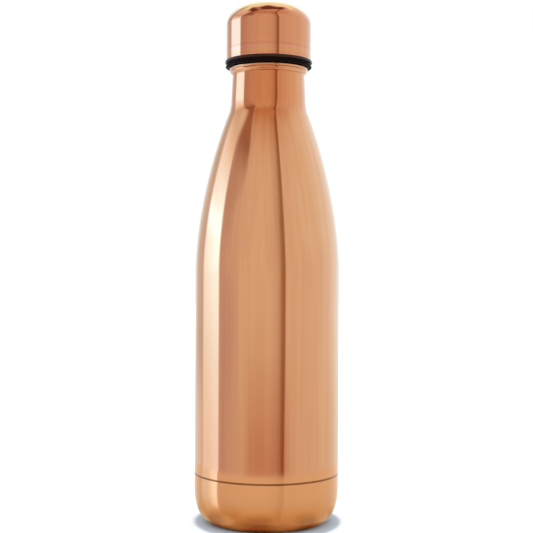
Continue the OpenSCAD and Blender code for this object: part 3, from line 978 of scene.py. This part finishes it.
def arch_and_panel(g, sky, room):
    """Pale panel above the window, and the dark arch beside it with its tail."""
    azimuth, elevation = sky.azimuth, sky.elevation
    panel = g.math("MULTIPLY", g.step(azimuth, -84.0, -62.0, 1.0, 0.0), g.step(elevation, 31.0, 37.0))
    panel = g.math("MULTIPLY", panel, g.step(azimuth, -140.0, -120.0))
    pale_wall = g.mix(g.step(elevation, 35.0, 43.0), (0.90, 1.14, 1.24), (1.05, 1.45, 1.65))
    room = g.mix(g.math("MULTIPLY", panel, 0.85), room, pale_wall)
    edge_line = g.math("MULTIPLY", g.band(azimuth, -143.0, -131.5, 3.0), g.step(elevation, 11.0, 18.0))
    room = g.mix(edge_line, room, (0.80, 0.86, 0.84), "MULTIPLY")

    centre = g.step(elevation, 29.0, 46.0, -73.0, -57.0)
    off = g.math("SUBTRACT", azimuth, centre)
    arch_end = g.math("SUBTRACT", azimuth, g.step(elevation, 35.0, 46.0, -42.0, -49.0))
    arch = g.math("MULTIPLY", g.step(off, -13.0, -3.0), g.step(arch_end, -3.0, 3.0, 1.0, 0.0))
    arch = g.math("MULTIPLY", arch, g.step(elevation, 26.0, 38.0))
    room = g.mix(arch, room, ARCH_DARK)

    tail_end = g.math("SUBTRACT", azimuth, g.step(elevation, 16.0, 28.0, -64.0, -43.0))
    tail_start = g.math("SUBTRACT", azimuth, g.step(elevation, 24.0, 32.0, -81.0, -77.0))
    tail = g.math("MULTIPLY", g.step(tail_start, -3.0, 3.0), g.step(tail_end, -8.0, 4.0, 1.0, 0.0))
    tail = g.math("MULTIPLY", tail, g.step(elevation, 2.0, 34.0, 0.0, 0.30))
    tail = g.math("MULTIPLY", tail, g.step(elevation, 34.0, 40.0, 1.0, 0.0))
    return g.mix(tail, room, ARCH_TAIL, "MULTIPLY")


def far_sides(g, sky, room):
    """Paler cloth low on the far left, browner low on the far right, and a light patch above it."""
    azimuth, elevation = sky.azimuth, sky.elevation
    pale = g.math("MULTIPLY", g.step(azimuth, -128.0, -122.0, 1.0, 0.0), g.step(elevation, -3.5, -8.0))
    room = g.mix(pale, room, (0.88, 1.07, 1.15))
    brown = g.math("MULTIPLY", g.step(azimuth, 96.0, 118.0), g.step(elevation, -2.0, -8.0))
    room = g.mix(brown, room, (0.95, 0.91, 0.80), "MULTIPLY")
    light = g.math("MULTIPLY", g.band(azimuth, 50.0, 112.0, 12.0), g.band(elevation, 8.0, 26.0, 6.0))
    return g.mix(light, room, (1.03, 1.07, 1.08), "MULTIPLY")


def roof_and_slit(g, sky, room, overhead):
    """Overhead: the bright roof behind, and a scalloped dark slit in front of it."""
    side, back, elevation = sky.side, sky.back, sky.elevation
    scallop = g.math("COSINE", g.math("MULTIPLY", g.math("SUBTRACT", side, 0.38), 15.7))
    line = g.math("SUBTRACT", back, g.math("MULTIPLY", scallop, 0.06))
    square = g.math("ADD", g.math("MULTIPLY", sky.x, sky.x), g.math("MULTIPLY", sky.y, sky.y))
    level = g.math("MAXIMUM", g.math("SQRT", square), 0.01)
    behind = g.step(g.math("DIVIDE", sky.y, level), 0.70, 0.96)
    room = g.mix(g.step(elevation, 52.0, 70.0), room, (0.86, 0.84, 0.98))
    gap = g.math("MULTIPLY", overhead, g.step(elevation, 50.0, 56.0))
    room = g.mix(gap, room, GAP_SHADE, "MULTIPLY")

    low_roof = g.math("MULTIPLY", behind, g.step(elevation, 18.0, 34.0))
    reach = g.math("MAXIMUM", low_roof, g.step(elevation, 46.0, 60.0))
    room = g.mix(g.math("MULTIPLY", g.step(line, 0.12, 0.30), reach), room, ROOF)

    front = g.math("SUBTRACT", back, g.math("MULTIPLY", g.math("MAXIMUM", side, 0.0), 0.35))
    slit = g.math("MULTIPLY", g.step(line, 0.07, 0.17, 1.0, 0.0), g.step(front, -0.41, -0.31))
    slit = g.math("MULTIPLY", slit, g.band(side, -0.68, 0.43, 0.06))
    break_in_slit = g.math("MULTIPLY", g.band(side, -0.37, -0.24, 0.05), 0.55)
    slit = g.math("MULTIPLY", slit, g.math("SUBTRACT", 1.0, break_in_slit))
    return g.mix(g.math("MULTIPLY", slit, 0.96), room, SLIT_DARK)


def studio():
    """The room: even daylight for the floor, and the tent that the mirror finish reflects."""
    world = bpy.data.worlds.new("studio")
    bpy.context.scene.world = world
    world.use_nodes = True
    world.cycles.sampling_method = "NONE"
    g = Graph(world.node_tree)
    sky = Sky(g)
    overhead = overhead_gap(g, sky)
    room = cloth_walls(g, sky)
    room = warm_edges(g, sky, room)
    room = dark_gap(g, sky, room, overhead)
    room = side_window(g, sky, room)
    room = arch_and_panel(g, sky, room)
    room = far_sides(g, sky, room)
    room = roof_and_slit(g, sky, room, overhead)

    path = g.add("LightPath")
    direct = g.math("GREATER_THAN", path.outputs["Glossy Depth"], 1.5)
    not_direct = g.math("SUBTRACT", 1.0, direct)
    off_floor = g.math("MINIMUM", path.outputs["Diffuse Depth"], not_direct, clamp=True)
    room = g.mix(off_floor, room, UNDER_LIGHT)
    light = g.mix(path.outputs["Is Glossy Ray"], DAYLIGHT, room)
    light = g.mix(path.outputs["Is Camera Ray"], light, BACKDROP)
    background = g.add("Background")
    g.feed(background.inputs["Color"], light)
    g.feed(g.add("OutputWorld").inputs["Surface"], background.outputs[0])


FLOOR_SIZE = 6.0
FLOOR_WHITE = (0.88, 0.90, 0.92)
FLOOR_SHADE = (0.44, 0.49, 0.52)
SHADE_REACH = (0.0352, 0.0386)
SHADE_DEPTH = 0.88
SHADE_OFFSET = 0.0006
TABLE_REACH = 0.19
TABLE_SOFT_EDGE = 0.004
TABLE_FAR = (0.565, 0.545, 0.445)
TABLE_NEAR = (0.60, 0.48, 0.23)
TABLE_GLOSS = 0.24
LOBE_TINT = (0.58, 0.40, 0.25)
LOBE_COUNT = 7.0
LOBE_TURN = math.radians(44)
BEAM_TINT = (1.54, 1.82, 2.50)
BEAM_APEX = (-0.0183, -0.0264)


def mirrored_table(g, x, y, reach):
    """The table as the mirror finish sees it, painted darker and warmer than the camera sees it: a painted
    warm glow near the foot, painted shadow lobes round it, painted light towards the far sides, and a
    painted pool of the window's light.
    """
    azimuth = g.math("ARCTAN2", x, g.math("MULTIPLY", y, -1.0))
    # Painted shadow in soft lobes round the foot
    lobes = g.math("COSINE", g.math("MULTIPLY", g.math("SUBTRACT", azimuth, LOBE_TURN), LOBE_COUNT))
    lobes = g.math("MULTIPLY", g.step(lobes, -0.9, 1.0, 0.05, 1.0), g.step(reach, 0.056, 0.033))
    # Painted warm glow near the foot, as if bounced off the copper
    sheen = g.mix(g.step(reach, 0.085, 0.036), TABLE_FAR, TABLE_NEAR)
    # Painted light: the table is paler towards the far sides
    turned = g.step(g.math("ABSOLUTE", azimuth), math.radians(95), math.radians(150))
    sheen = g.mix(turned, sheen, (1.10, 1.13, 1.22), "MULTIPLY")
    sheen = g.mix(lobes, sheen, LOBE_TINT, "MULTIPLY")

    beam_x = g.math("SUBTRACT", x, BEAM_APEX[0])
    beam_y = g.math("SUBTRACT", y, BEAM_APEX[1])
    beam = g.math("ARCTAN2", beam_x, g.math("MULTIPLY", beam_y, -1.0))
    beam_start = g.step(beam, math.radians(-110), math.radians(-87))
    beam_end = g.step(beam, math.radians(-85.5), math.radians(-82.5), 1.0, 0.0)
    beam = g.math("MULTIPLY", g.math("MULTIPLY", beam_start, beam_end), g.step(reach, 0.050, 0.066))
    return g.mix(beam, sheen, BEAM_TINT, "MULTIPLY")


def table_top():
    """White floor. The mirror finish sees it only as far as a table reaches, and sees its gloss."""
    half = FLOOR_SIZE / 2
    corners = [(-half, -half, 0), (half, -half, 0), (half, half, 0), (-half, half, 0)]
    mesh = bpy.data.meshes.new("floor")
    mesh.from_pydata(corners, [], [(0, 1, 2, 3)])
    floor = bpy.data.objects.new("floor", mesh)
    bpy.context.scene.collection.objects.link(floor)
    material = bpy.data.materials.new("white_table")
    material.use_nodes = True
    g = Graph(material.node_tree)
    x, y, z = g.xyz(g.add("TexCoord").outputs["Object"])
    mirrored = g.add("LightPath").outputs["Is Glossy Ray"]

    def from_centre(depth_scale, offset):
        deep = g.math("MULTIPLY", y, depth_scale)
        wide = g.math("SUBTRACT", x, offset)
        square = g.math("ADD", g.math("MULTIPLY", wide, wide), g.math("MULTIPLY", deep, deep))
        return g.math("SQRT", square)

    # The camera sees it white, with the shade under the bottle
    shade = g.step(from_centre(SHADE_DEPTH, SHADE_OFFSET), *SHADE_REACH, 1.0, 0.0)
    plain = g.mix(shade, FLOOR_WHITE, FLOOR_SHADE)
    reach = from_centre(1.0, 0.0)
    sheen = mirrored_table(g, x, y, reach)

    diffuse = g.add("BsdfDiffuse")
    g.feed(diffuse.inputs["Color"], g.mix(mirrored, plain, sheen))
    gloss = g.add("BsdfGlossy")
    gloss.inputs["Color"].default_value = (0.96, 0.92, 0.78, 1.0)
    gloss.inputs["Roughness"].default_value = 0.14
    surface = g.add("MixShader")
    g.feed(surface.inputs[0], g.math("MULTIPLY", mirrored, TABLE_GLOSS))
    g.feed(surface.inputs[1], diffuse.outputs[0])
    g.feed(surface.inputs[2], gloss.outputs[0])
    clear = g.add("BsdfTransparent")
    blend = g.add("MixShader")
    past_edge = g.step(reach, TABLE_REACH - TABLE_SOFT_EDGE, TABLE_REACH + TABLE_SOFT_EDGE)
    g.feed(blend.inputs[0], g.math("MULTIPLY", past_edge, mirrored))
    g.feed(blend.inputs[1], surface.outputs[0])
    g.feed(blend.inputs[2], clear.outputs[0])
    g.feed(g.add("OutputMaterial").inputs["Surface"], blend.outputs[0])
    mesh.materials.append(material)


# Camera: metres, degrees and millimetres of lens
CAMERA_DISTANCE = 0.572
CAMERA_HEIGHT = 0.1299
CAMERA_SIDE = -0.0005
CAMERA_TILT = -0.0895
CAMERA_ROLL = -0.34
LENS = 76.0


def camera():
    """The view from straight in front, at about half the bottle's height."""
    data = bpy.data.cameras.new("camera")
    data.lens = LENS
    data.sensor_width = 36.0
    data.clip_start = 0.01
    view = bpy.data.objects.new("camera", data)
    bpy.context.scene.collection.objects.link(view)
    view.location = (CAMERA_SIDE, -CAMERA_DISTANCE, CAMERA_HEIGHT)
    view.rotation_mode = "ZXY"
    view.rotation_euler = (math.radians(90 + CAMERA_TILT), math.radians(CAMERA_ROLL), 0.0)
    bpy.context.scene.camera = view


studio()
table_top()
camera()
bpy.context.scene.view_settings.view_transform = "Standard"
